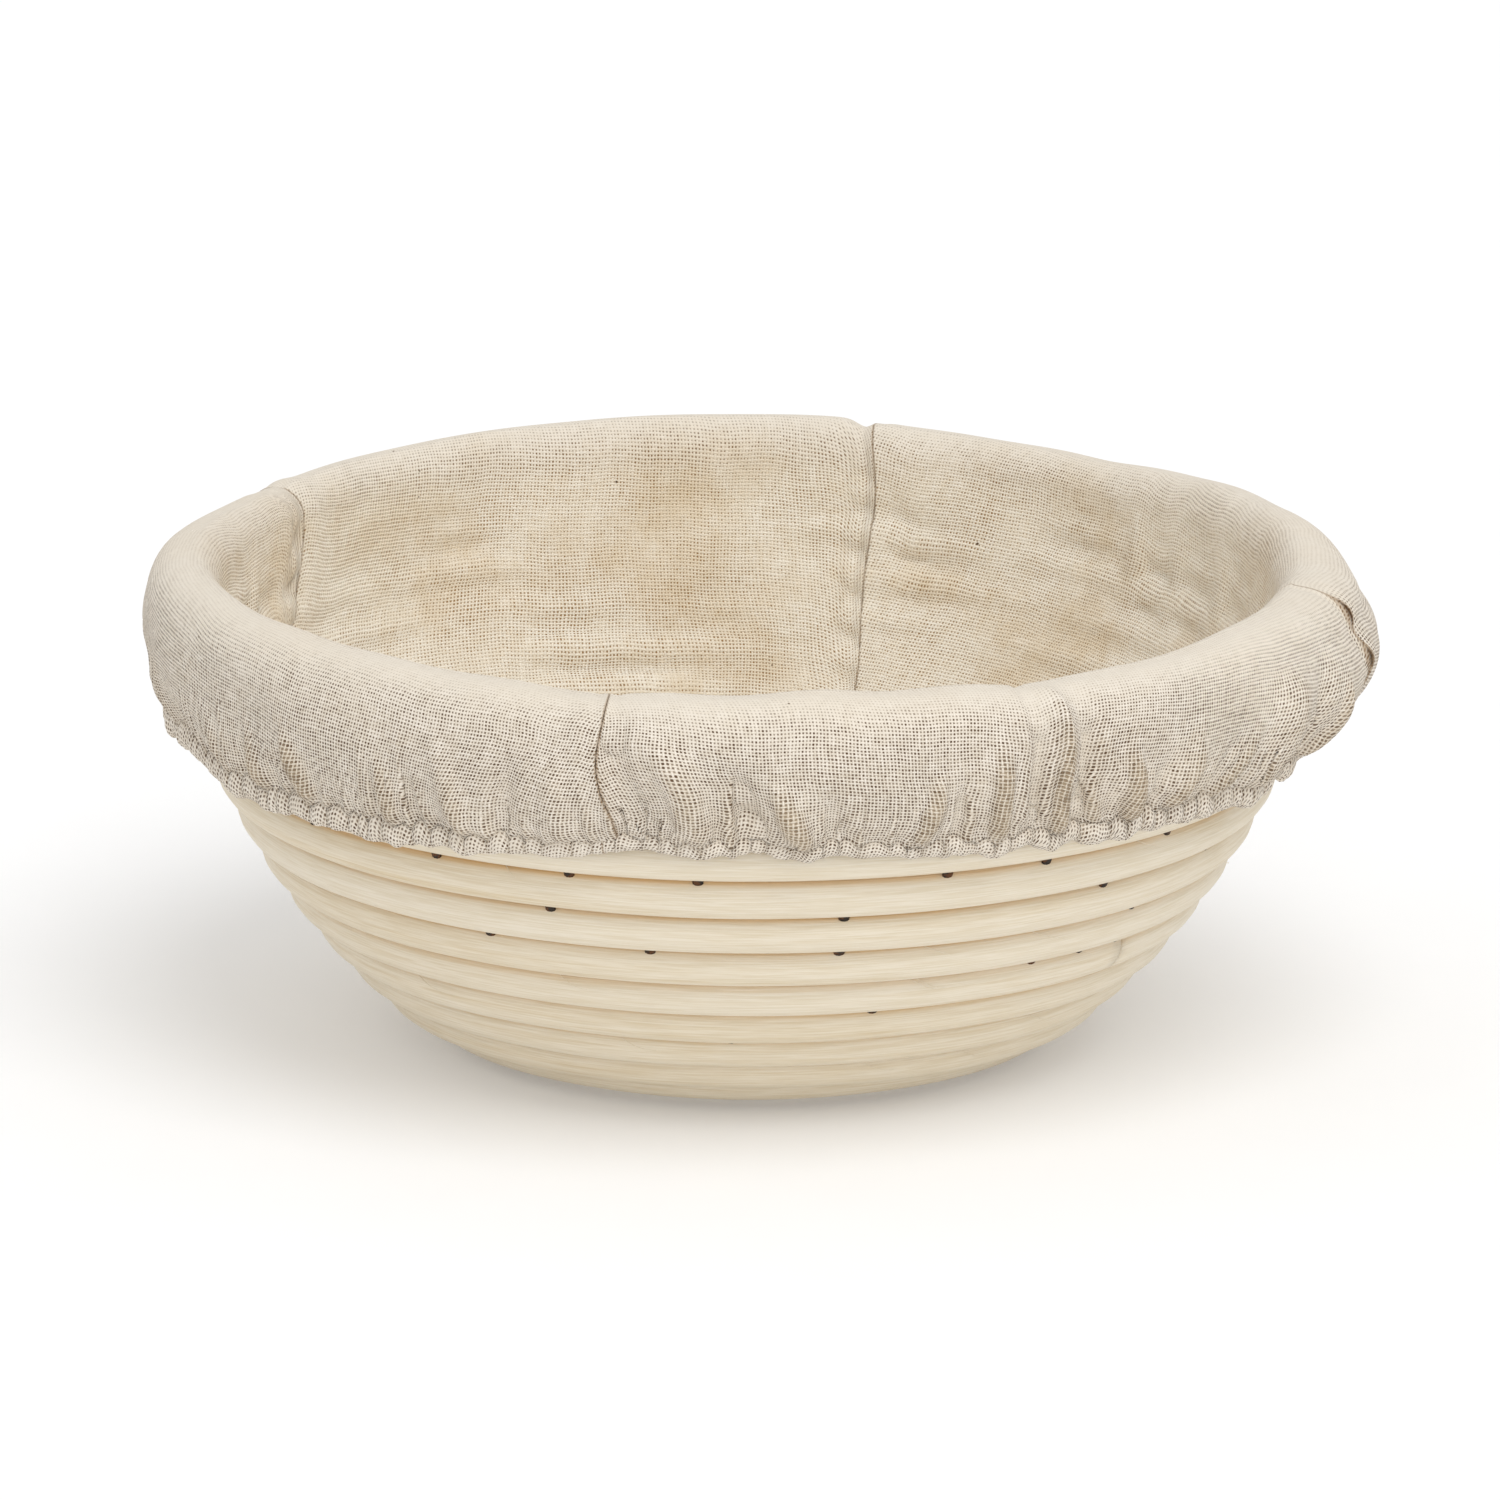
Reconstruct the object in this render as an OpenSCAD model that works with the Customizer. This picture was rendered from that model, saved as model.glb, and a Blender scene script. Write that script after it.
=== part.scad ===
// Round proofing basket: a bowl coiled from round cane, with a loose cloth liner
// that folds over the rim and is held under it by an elastic hem.
// Millimetres. +Z is up, the origin is on the table under the middle of the bowl,
// and -Y is the front.

/* [Cane] */
// Diameter of the round cane
cane_d = 8.5; // [7:0.1:9]
// Gap between neighbouring turns
turn_gap = 0.1; // [0.1:0.1:0.4]
// Radius of the innermost turn, at the centre of the cane
eye_r = 5.5; // [5:0.5:9]
// Flat turns inside the foot
floor_turns = 5; // [4:1:6]
// Turns above the foot
wall_turns = 12; // [10:1:13]

/* [Bowl shape] */
// Angle by which the floor is raised from the foot turn, which leaves room for the slats
foot_drop = 14; // [10:1:16]
// Slope from the foot turn to the first wall turn
heel_slope_1 = 15; // [10:1:20]
// Slope from the first wall turn to the second
heel_slope_2 = 30; // [25:1:35]
// Slope of the wall where it leaves the heel
wall_slope_low = 43; // [40:1:50]
// Slope of the wall at the rim
wall_slope_rim = 79; // [70:1:82]
// Part of each turn, at the back, in which the cane climbs to the next turn
climb_share = 0.4; // [0.3:0.05:0.5]

/* [Brads] */
// Diameter of the wire brads that pin each turn to the one below
brad_d = 1.6; // [1:0.1:1.8]
// Length of a brad
brad_len = 8; // [6:0.5:8]
// How far a brad stands outside the line through the cane centres
brad_out = 1.9; // [1:0.1:2.2]

/* [Slats] */
// Width of the slats under the floor
slat_w = 11; // [8:1:14]
// Length of the long slat, and of the cross
slat_len = 84; // [70:1:86]
// Thickness of the slats
slat_t = 1.9; // [1.2:0.1:2]

/* [Liner] */
// Thickness of the cloth
cloth_t = 0.7; // [0.4:0.1:0.9]
// Room between the cane and the cloth
cloth_room = 0.6; // [0.5:0.1:0.9]
// Height of the middle of the hem above the table
hem_z = 63; // [55:1:70]
// Diameter of the elastic cord in the hem
elastic_d = 1.6; // [1:0.1:1.8]

/* [Hidden] */

cane_r = cane_d / 2;
pitch = cane_d + turn_gap;
last_turn = floor_turns + wall_turns;

// Slope of the step from turn k to turn k + 1
function slope(k) =
    k < floor_turns - 1 ? 0
    : k == floor_turns - 1 ? -foot_drop
    : k == floor_turns ? heel_slope_1
    : k == floor_turns + 1 ? heel_slope_2
    : wall_slope_low + (wall_slope_rim - wall_slope_low)
        * (k - floor_turns - 2) / (wall_turns - 3);

// Sum of the first k steps, each one pitch long
function steps(k) =
    k == 0 ? [0, 0] : steps(k - 1) + pitch * [cos(slope(k - 1)), sin(slope(k - 1))];

floor_z = cane_r + pitch * sin(foot_drop);
// Centre of the cane at each turn, as [radius, height], with one more past the rim
TURNS = [for (k = [0:last_turn + 1]) [eye_r, floor_z] + steps(k)];

function between(a, b, s) = a + (b - a) * s;
// Cane centre at a turn number with a fraction
function cane_at(u) = between(TURNS[floor(u)], TURNS[floor(u) + 1], u - floor(u));

// A turn starts at the left, runs level along the front and climbs at the back
function turn_angle(t) = 180 + 360 * (t - floor(t));
climb_start = 0.75 - climb_share / 2;
function climb(share) =
    share <= climb_start ? 0
    : share >= climb_start + climb_share ? 1
    : (1 - cos(180 * (share - climb_start) / climb_share)) / 2;
function climb_at_angle(a) = climb(((a + 540) % 360) / 360);

// The end of the rim cane thins as the turn below it climbs, so the rim stays nearly level
rim_rise = 0.35;
function rim_climb(t) = t < last_turn ? 0 : climb(t - last_turn);
function thickness(t) = 1 - 2 * (1 - rim_rise) * rim_climb(t);
function width(t) = 1 - 0.4 * rim_climb(t);
function cane_centre(t) =
    cane_at(floor(t) + climb(t - floor(t)) - (1 - rim_rise) * rim_climb(t));

SIDES = 8;
// One cross-section of the cane, as points in space
function section(t) =
    let (c = cane_centre(t), a = turn_angle(t),
         half_w = cane_r * width(t), half_h = cane_r * thickness(t))
    [for (j = [0:SIDES - 1])
        let (b = 360 * (j + 0.5) / SIDES, r = c[0] + half_w * cos(b))
        [r * cos(a), r * sin(a), c[1] + half_h * sin(b)]];

// A length of cane from turn number t0 to t1, with a section at every step of a turn
module cane_length(t0, t1, steps_per_turn) {
    first = ceil(t0 * steps_per_turn + 0.01);
    last = floor(t1 * steps_per_turn - 0.01);
    stations = concat([t0], [for (i = [first:last]) i / steps_per_turn], [t1]);
    rings = len(stations);
    points = [for (t = stations) each section(t)];
    skin = [for (i = [0:rings - 2], j = [0:SIDES - 1])
        let (k = (j + 1) % SIDES)
        each [[i * SIDES + j, (i + 1) * SIDES + j, (i + 1) * SIDES + k],
              [i * SIDES + j, (i + 1) * SIDES + k, i * SIDES + k]]];
    start_cap = [[for (j = [0:SIDES - 1]) j]];
    end_cap = [[for (j = [SIDES - 1:-1:0]) (rings - 1) * SIDES + j]];
    polyhedron(points = points, faces = concat(skin, start_cap, end_cap), convexity = 10);
}

// Turn numbers at which one length of cane ends and the next begins
splice_floor = 5.6;
splice_front = 10.4;
splice_back = 13.7;
splice_rim = 15.85;
rim_end = 17.79;
splice_gap = 0.0002;
WALL_STEPS = 40;
FLOOR_STEPS = 20;

module floor_cane() {
    color("wheat") cane_length(0, splice_floor - splice_gap, FLOOR_STEPS);
}

module wall_cane_lower() {
    color("wheat")
        cane_length(splice_floor + splice_gap, splice_front - splice_gap, WALL_STEPS);
}

module wall_cane_middle() {
    color("cornsilk")
        cane_length(splice_front + splice_gap, splice_back - splice_gap, WALL_STEPS);
}

module wall_cane_upper() {
    color("wheat")
        cane_length(splice_back + splice_gap, splice_rim - splice_gap, WALL_STEPS);
}

module rim_cane() {
    color("cornsilk") cane_length(splice_rim + splice_gap, rim_end, WALL_STEPS);
}

// Angles of the brads that show at the front, from straight ahead, positive to the right.
// Each list is one joint between turns, from the highest that shows to the lowest.
FRONT_BRADS = [
    [-54, -35, -19, -5, 22, 34, 52],
    [-22, 11, 44, 64],
    [-31, -11, 11, 52],
    [38, 46, 53],
    [17]];
front_joint_top = last_turn - 4;
back_brad_step = 32;

// A brad through turn k + 1 into turn k, at angle a, along the line of the wall
module brad(k, a) {
    low = cane_at(k + climb_at_angle(a));
    high = cane_at(k + 1 + climb_at_angle(a));
    along = (high - low) / norm(high - low);
    mid = (low + high) / 2 + brad_out * [along[1], -along[0]];
    rotate([0, 0, a])
        translate([mid[0], 0, mid[1]])
            rotate([0, atan2(along[0], along[1]), 0])
                cylinder(d = brad_d, h = brad_len, center = true, $fn = 24);
}

// Evenly spaced brads all round one joint
module brad_ring(k, count) {
    for (i = [0:count - 1])
        brad(k, 360 * (i + 0.37 * k) / count);
}

module floor_brads() {
    color("dimgray")
        for (k = [0:floor_turns - 1])
            brad_ring(k, 3 + k);
}

module wall_brads() {
    color("dimgray") {
        for (k = [floor_turns:front_joint_top - len(FRONT_BRADS)])
            brad_ring(k, 8);
        for (i = [0:len(FRONT_BRADS) - 1]) {
            k = front_joint_top - i;
            for (a = FRONT_BRADS[i])
                brad(k, 270 + a);
            for (a = [10 + 4 * i:back_brad_step:175])
                brad(k, a);
        }
    }
}

module rim_brads() {
    color("dimgray") {
        for (k = [front_joint_top + 1:last_turn - 2])
            brad_ring(k, 12);
        // The top joint is pinned only where the rim cane has its full thickness
        for (a = [190:30:370])
            brad(last_turn - 1, a);
    }
}

slat_angle = 45;
slat_gap = 0.4;
nail_d = 1.4;
nail_head_d = 3;
nail_head_t = 0.5;
nail_inset = 0.2;

// A slat from one distance to another along its own direction
module slat(from, to) {
    rotate([0, 0, slat_angle])
        translate([from, -slat_w / 2, 0])
            cube([to - from, slat_w, slat_t]);
}

module slat_long() {
    color("burlywood") slat(-slat_len / 2, slat_len / 2);
}

module slat_left() {
    color("burlywood") rotate([0, 0, 90]) slat(slat_w / 2 + slat_gap, slat_len / 2);
}

module slat_right() {
    color("burlywood") rotate([0, 0, -90]) slat(slat_w / 2 + slat_gap, slat_len / 2);
}

// A nail up through a slat into the middle of the turn above it
module slat_nail(reach, a) {
    rotate([0, 0, a])
        translate([reach, 0, nail_inset]) {
            cylinder(d = nail_head_d, h = nail_head_t, $fn = 24);
            cylinder(d = nail_d, h = floor_z + 1, $fn = 24);
        }
}

module slat_nails() {
    color("gray")
        for (a = [0:90:270], k = [1, 3])
            slat_nail(cane_at(k + climb_at_angle(a + slat_angle))[0], a + slat_angle);
}

// The cloth's line inside the cane, at distance d from the cane centres
function wall_point(k, d) =
    let (a = (slope(k - 1) + slope(k)) / 2)
    TURNS[k] + d * [-sin(a), cos(a)];
rim_centre = TURNS[last_turn];
RIM_ARC_STEP = 15;
function rim_arc(d) =
    [for (a = [90 + slope(last_turn - 1):-RIM_ARC_STEP:0]) rim_centre + d * [cos(a), sin(a)]];
// From the middle of the floor, up the wall, over the rim and down to the hem
function cloth_line(d) = concat(
    [[0, floor_z + d], [TURNS[floor_turns - 1][0], floor_z + d]],
    [for (k = [floor_turns + 2:last_turn - 1]) wall_point(k, d)],
    rim_arc(d),
    [[rim_centre[0] + d, rim_centre[1]], [rim_centre[0] + d, hem_z]]);
function reversed(list) = [for (i = [len(list) - 1:-1:0]) list[i]];

outer_line = cane_r + cloth_room;
inner_line = outer_line + cloth_t;
hem_wall = 0.6;
hem_bore_r = elastic_d / 2 + 0.1;
hem_r = hem_bore_r + hem_wall;
hem_centre = [rim_centre[0] + outer_line + hem_r, hem_z];

// One gore of cloth between two seams, with its stretch of the hem channel
module gore(a0, a1) {
    rotate([0, 0, a0])
        rotate_extrude(angle = a1 - a0, $fn = 120)
            difference() {
                union() {
                    polygon(concat(cloth_line(outer_line), reversed(cloth_line(inner_line))));
                    translate(hem_centre) circle(r = hem_r, $fn = 48);
                }
                translate(hem_centre) circle(r = hem_bore_r, $fn = 48);
            }
}

// Angles of the four seams, from the right
seam_right = -12;
seam_back = 76;
seam_left = 148;
seam_front = 256;

module gore_right_back() { color("linen") gore(seam_right, seam_back); }
module gore_left_back() { color("antiquewhite") gore(seam_back, seam_left); }
module gore_left_front() { color("linen") gore(seam_left, seam_front); }
module gore_right_front() { color("antiquewhite") gore(seam_front, seam_right + 360); }

thread_w = 0.7;
thread_proud = 0.4;
// A seam's thread on the cloth's face, clear of the middle of the floor and of the hem
module seam_thread(a) {
    seam_start = [eye_r, floor_z];
    low = cloth_line(inner_line - 0.1);
    high = cloth_line(inner_line + thread_proud);
    middle = [for (i = [1:len(low) - 2]) i];
    top_end = [0, hem_z + hem_r + 1];
    rotate([0, 0, a])
        rotate([90, 0, 0])
            linear_extrude(thread_w, center = true)
                polygon(concat(
                    [seam_start + [0, inner_line - 0.1]],
                    [for (i = middle) low[i]],
                    [[low[len(low) - 1][0], top_end[1]], [high[len(high) - 1][0], top_end[1]]],
                    reversed([for (i = middle) high[i]]),
                    [seam_start + [0, inner_line + thread_proud]]));
}

module seam_thread_right() { color("ivory") seam_thread(seam_right); }
module seam_thread_back() { color("ivory") seam_thread(seam_back); }
module seam_thread_left() { color("ivory") seam_thread(seam_left); }
module seam_thread_front() { color("ivory") seam_thread(seam_front); }

module hem_elastic() {
    color("white")
        rotate_extrude($fn = 120)
            translate(hem_centre) circle(d = elastic_d, $fn = 32);
}

stitch_r = 0.25;
module hem_thread() {
    color("ivory")
        rotate_extrude($fn = 120)
            translate([rim_centre[0] + inner_line, hem_z + hem_r + 0.5])
                circle(r = stitch_r, $fn = 24);
}

floor_cane();
wall_cane_lower();
wall_cane_middle();
wall_cane_upper();
rim_cane();
floor_brads();
wall_brads();
rim_brads();
slat_long();
slat_left();
slat_right();
slat_nails();
gore_right_back();
gore_left_back();
gore_left_front();
gore_right_front();
seam_thread_right();
seam_thread_back();
seam_thread_left();
seam_thread_front();
hem_elastic();
hem_thread();
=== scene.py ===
"""Round cane proofing basket with a cloth liner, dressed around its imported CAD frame.

Shapes are worked out in millimetres, as in the CAD source, and become metres when a mesh is made.
Angles run anticlockwise from +X, seen from above, so the front of the basket is at 270 degrees.
"""
from math import cos, hypot, pi, radians, sin, sqrt

import bpy
import numpy as np
from mathutils import Matrix, Vector


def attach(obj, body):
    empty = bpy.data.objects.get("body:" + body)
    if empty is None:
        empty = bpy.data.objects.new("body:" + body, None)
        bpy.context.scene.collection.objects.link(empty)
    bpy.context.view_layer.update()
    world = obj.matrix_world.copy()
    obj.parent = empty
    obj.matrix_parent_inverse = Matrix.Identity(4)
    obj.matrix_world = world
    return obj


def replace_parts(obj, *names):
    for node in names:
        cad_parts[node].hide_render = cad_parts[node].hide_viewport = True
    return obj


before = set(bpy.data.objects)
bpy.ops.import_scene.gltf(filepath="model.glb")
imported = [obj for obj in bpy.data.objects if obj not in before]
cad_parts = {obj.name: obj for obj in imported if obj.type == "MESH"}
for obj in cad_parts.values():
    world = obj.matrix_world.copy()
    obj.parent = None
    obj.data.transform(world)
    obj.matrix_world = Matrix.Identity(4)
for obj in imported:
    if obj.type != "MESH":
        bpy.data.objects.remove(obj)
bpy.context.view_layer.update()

MM = 0.001
FULL = 2 * pi

# ---- the coil, as in the CAD source
CANE_R = 4.25
PITCH = 8.6
EYE_R = 5.5
FLOOR_TURNS = 5
WALL_TURNS = 12
LAST_TURN = FLOOR_TURNS + WALL_TURNS
FOOT_DROP = 14
HEEL_SLOPES = (15, 30)
WALL_SLOPES = (43, 79)
CLIMB_SHARE = 0.4
CLIMB_START = 0.75 - CLIMB_SHARE / 2
RIM_RISE = 0.35
RIM_END = 17.79
SPLICE_GAP = 0.0004
FLOOR_Z = CANE_R + PITCH * sin(radians(FOOT_DROP))


def slope(k):
    """Slope in degrees of the step from turn k to turn k + 1."""
    if k < FLOOR_TURNS - 1:
        return 0
    if k == FLOOR_TURNS - 1:
        return -FOOT_DROP
    first = FLOOR_TURNS + len(HEEL_SLOPES)
    if k < first:
        return HEEL_SLOPES[k - FLOOR_TURNS]
    low, rim = WALL_SLOPES
    return low + (rim - low) * (k - first) / (LAST_TURN - 1 - first)


def turn_table():
    """Radius and height of the cane's centre at each turn, with two more past the rim."""
    points = [np.array([EYE_R, FLOOR_Z])]
    for k in range(LAST_TURN + 2):
        a = radians(slope(k))
        points.append(points[-1] + PITCH * np.array([cos(a), sin(a)]))
    return np.array(points)


TURNS = turn_table()


def climb(share):
    """Share of the step to the next turn that the cane has climbed, from its share of a turn."""
    x = np.clip((share - CLIMB_START) / CLIMB_SHARE, 0, 1)
    return (1 - np.cos(pi * x)) / 2


def at_turn(u):
    """Radius and height at a turn number with a fraction."""
    k = np.arange(len(TURNS))
    return np.interp(u, k, TURNS[:, 0]), np.interp(u, k, TURNS[:, 1])


def in_space(r, angle, z):
    """Points in space from radius, angle and height."""
    return np.stack([r * np.cos(angle), r * np.sin(angle), z + 0 * angle], -1)


def share_of_turn(angle):
    """Share of a turn at an angle in radians: a turn starts at the left, at 180 degrees."""
    return ((angle - pi) / FULL) % 1.0


# ---- noise
WAVE_COUNT = 28
WOBBLE_COUNT = 10


def waves(angle, along, seed, around_range, along_range):
    """Smooth noise of about unit size round the bowl. Ranges are waves per turn and per mm."""
    rng = np.random.default_rng(seed)
    total = np.zeros(np.broadcast(angle, along).shape)
    for _ in range(WAVE_COUNT):
        m = rng.integers(around_range[0], around_range[1] + 1)
        q = rng.uniform(*along_range) * FULL * rng.choice((-1, 1))
        total = total + np.cos(m * angle + q * along + rng.uniform(0, FULL))
    return total / sqrt(WAVE_COUNT / 2)


def wobble(s, seed, wavelengths):
    """Smooth noise of about unit size along a length in mm."""
    rng = np.random.default_rng(seed)
    total = np.zeros_like(s)
    for _ in range(WOBBLE_COUNT):
        total += np.cos(FULL * s / rng.uniform(*wavelengths) + rng.uniform(0, FULL))
    return total / sqrt(WOBBLE_COUNT / 2)


def bump_at(x, centre, width):
    """A smooth bump of height 1 at centre."""
    return np.exp(-(((x - centre) / width) ** 2))


def turn_gap(angle, centre):
    """Signed angle in radians from a centre in degrees, the short way round."""
    return (angle - radians(centre) + pi) % FULL - pi


def smooth_step(x, low, high):
    """0 up to low, 1 from high, smooth between."""
    y = np.clip((x - low) / (high - low), 0, 1)
    return y * y * (3 - 2 * y)


# ---- paths
def run_along(path):
    """Distance of each point of a path from its start."""
    return np.concatenate([[0], np.cumsum(np.linalg.norm(np.diff(path, axis=0), axis=1))])


def eased(path, times):
    """A path with its corners smoothed and its ends held."""
    path = np.array(path)
    for _ in range(times):
        path[1:-1] = (path[:-2] + 2 * path[1:-1] + path[2:]) / 4
    return path


def blurred(values, times):
    """Values round the basket, smoothed a number of times."""
    for _ in range(times):
        values = (np.roll(values, 1, axis=0) + 2 * values + np.roll(values, -1, axis=0)) / 4
    return values


# ---- mesh helpers
def put_in_scene(name, data):
    """An object in the scene from a mesh, a light or a camera."""
    made = bpy.data.objects.new(name, data)
    bpy.context.scene.collection.objects.link(made)
    return made


def make_piece(name, points, faces, material, body, slot):
    """A mesh piece from points in mm, riding on a body."""
    mesh = bpy.data.meshes.new(name)
    mesh.from_pydata((np.asarray(points) * MM).tolist(), [], faces)
    mesh.validate()
    mesh.polygons.foreach_set("use_smooth", [True] * len(mesh.polygons))
    mesh.materials.append(material)
    piece = put_in_scene(name, mesh)
    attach(piece, body)
    return piece


def add_values(piece, name, values):
    """A number, or a vector in mm, for each point, for the materials."""
    values = np.asarray(values)
    kind, field, unit = ("FLOAT", "value", 1) if values.ndim == 1 else ("FLOAT_VECTOR", "vector", MM)
    layer = piece.data.attributes.new(name, kind, "POINT")
    layer.data.foreach_set(field, (values * unit).astype(np.float32).ravel())


def tube_faces(rings, sides, first=0, capped=True):
    """Faces of a tube of rings of points, with its ends closed."""
    faces = []
    for i in range(rings - 1):
        a, b = first + i * sides, first + (i + 1) * sides
        for j in range(sides):
            k = (j + 1) % sides
            faces.append((a + j, b + j, b + k, a + k))
    if capped:
        faces.append(tuple(first + j for j in range(sides)))
        end = first + (rings - 1) * sides
        faces.append(tuple(end + j for j in reversed(range(sides))))
    return faces


def sweep(path, radii, sides):
    """Points of a round tube along a path of points in space."""
    path = np.asarray(path, float)
    tangent = np.gradient(path, axis=0)
    tangent /= np.linalg.norm(tangent, axis=1)[:, None]
    side = np.cross(tangent, (0.12, 0.21, 0.97))
    side /= np.linalg.norm(side, axis=1)[:, None]
    other = np.cross(tangent, side)
    b = FULL * np.arange(sides) / sides
    ring = side[:, None] * np.cos(b)[None, :, None] + other[:, None] * np.sin(b)[None, :, None]
    radii = np.broadcast_to(radii, len(path))
    return (path[:, None] + ring * radii[:, None, None]).reshape(-1, 3)


class Tubes:
    """Thin round tubes gathered into one mesh."""

    def __init__(self, sides):
        self.points, self.faces, self.sides = [], [], sides

    def add(self, path, radii):
        self.faces += tube_faces(len(path), self.sides, len(self.points))
        self.points += list(sweep(path, radii, self.sides))

    def piece(self, name, *look):
        return make_piece(name, self.points, self.faces, *look)


# ---- materials
class Graph:
    """A material's nodes, built by short calls."""

    def __init__(self, name):
        self.material = bpy.data.materials.new(name)
        self.material.use_nodes = True
        self.nodes = self.material.node_tree.nodes
        self.links = self.material.node_tree.links
        self.shader = self.nodes["Principled BSDF"]

    def put(self, socket, value):
        if isinstance(value, bpy.types.NodeSocket):
            self.links.new(value, socket)
        else:
            socket.default_value = value

    def node(self, kind, values=(), **settings):
        made = self.nodes.new(kind)
        for key, value in settings.items():
            setattr(made, key, value)
        for key, value in dict(values).items():
            self.put(made.inputs[key], value)
        return made

    def math(self, operation, a, b=0.0, clamp=False):
        made = self.node("ShaderNodeMath", {0: a, 1: b}, operation=operation, use_clamp=clamp)
        return made.outputs[0]

    def times(self, a, b, clamp=False):
        return self.math("MULTIPLY", a, b, clamp)

    def plus(self, a, b, clamp=False):
        return self.math("ADD", a, b, clamp)

    def minus(self, a, b):
        return self.math("SUBTRACT", a, b)

    def scaled(self, parts, scales):
        """A vector of parts, each times its own scale."""
        return self.vector(*(self.times(part, scale) for part, scale in zip(parts, scales)))

    def vector(self, x, y, z=0.0):
        return self.node("ShaderNodeCombineXYZ", {0: x, 1: y, 2: z}).outputs[0]

    def place(self):
        """The point itself, in the piece's frame."""
        return self.node("ShaderNodeTexCoord").outputs["Object"]

    def split(self, attribute):
        source = self.node("ShaderNodeAttribute", attribute_name=attribute)
        return self.node("ShaderNodeSeparateXYZ", {0: source.outputs["Vector"]}).outputs

    def value(self, attribute):
        return self.node("ShaderNodeAttribute", attribute_name=attribute).outputs["Fac"]

    def noise(self, vector, scale, detail=2.0, roughness=0.5):
        values = {"Vector": vector, "Scale": scale, "Detail": detail, "Roughness": roughness}
        return self.node("ShaderNodeTexNoise", values).outputs["Fac"]

    def fall(self, value, low, high):
        """1 at low, 0 at high, smooth between."""
        return self.minus(1.0, self.ramp(value, low, high))

    def ramp(self, value, low, high):
        """0 at low, 1 at high, smooth between."""
        values = {"Value": value, "From Min": low, "From Max": high}
        return self.node("ShaderNodeMapRange", values, interpolation_type="SMOOTHSTEP").outputs[0]

    def mix(self, share, a, b):
        made = self.node("ShaderNodeMix", data_type="RGBA")
        self.put(made.inputs["Factor"], share)
        self.put(made.inputs["A"], a)
        self.put(made.inputs["B"], b)
        return made.outputs["Result"]

    def over(self, base, share, amount, *tint):
        """base with a display colour laid over a share of it."""
        return self.mix(self.times(share, amount), base, colour(*tint))

    def bump(self, height, distance, strength):
        values = {"Height": height, "Distance": distance, "Strength": strength}
        self.put(self.shader.inputs["Normal"], self.node("ShaderNodeBump", values).outputs[0])

    def finish(self, colour, roughness, **fixed):
        self.put(self.shader.inputs["Base Color"], colour)
        self.put(self.shader.inputs["Roughness"], roughness)
        for key, value in fixed.items():
            self.shader.inputs[key.replace("_", " ")].default_value = value
        return self.material


def colour(red, green, blue):
    """A display colour, 0 to 255, as Blender's linear colour."""
    return tuple((c / 255) ** 2.2 for c in (red, green, blue)) + (1.0,)


def cane_material():
    """Peeled cane: fine fibres along its length, broader streaks, and painted shade in the grooves
    between turns: an ochre band with a dark brown line where the turns meet.
    """
    g = Graph("peeled_cane")
    grain, tone, groove = g.split("grain"), g.value("tone"), g.value("groove")
    fibres = g.noise(g.scaled(grain, (90, 3600, 3600)), 1.0, 3.0, 0.6)
    streaks = g.noise(g.scaled(grain, (8, 700, 700)), 1.0, 2.0)
    blotch = g.noise(g.scaled((grain[0], grain[2]), (22, 90)), 1.0, 2.0)
    pale = g.mix(g.ramp(fibres, 0.32, 0.66), colour(219, 206, 181), colour(230, 220, 201))
    warm = g.mix(g.ramp(fibres, 0.3, 0.7), colour(204, 182, 144), colour(222, 208, 180))
    share = g.plus(g.times(g.ramp(streaks, 0.5, 0.78), 0.5), tone, clamp=True)
    share = g.math("MAXIMUM", share, g.times(g.ramp(blotch, 0.6, 0.78), 0.5))
    # Painted shade in the grooves: ochre where the cane faces the next turn, and a dark brown line
    # where the turns meet
    groove_shade = g.times(groove, g.plus(0.6, g.ramp(streaks, 0.3, 0.7)), clamp=True)
    base = g.mix(share, pale, warm)
    base = g.over(base, groove_shade, 0.75, 212, 174, 118)
    base = g.over(base, g.ramp(groove, 0.78, 0.98), 0.7, 120, 84, 48)
    g.bump(g.plus(fibres, g.times(streaks, 0.6)), 0.0002, 0.5)
    return g.finish(base, g.plus(0.45, g.times(fibres, 0.25)), Specular_IOR_Level=0.35)


def slat_material():
    """Sawn pale wood with straight grain along the slat."""
    g = Graph("slat_wood")
    grain = g.noise(g.scaled(g.split("grain"), (18, 1500, 1500)), 1.0, 4.0, 0.6)
    base = g.mix(g.ramp(grain, 0.3, 0.7), colour(186, 150, 100), colour(222, 194, 148))
    g.bump(grain, 0.0002, 0.5)
    return g.finish(base, 0.6)


def brad_material():
    """Dark wire with patches of rust."""
    g = Graph("brad_wire")
    rust = g.noise(g.place(), 900.0, 3.0)
    base = g.mix(g.ramp(rust, 0.42, 0.62), colour(52, 46, 42), colour(96, 64, 42))
    g.bump(rust, 0.0001, 0.6)
    return g.finish(base, g.plus(0.35, g.times(rust, 0.4)), Metallic=0.6)


THREAD_PITCH = 0.00066
WEAVE_SKEW = 0.07
THREAD_DRIFT = 0.9


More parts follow.
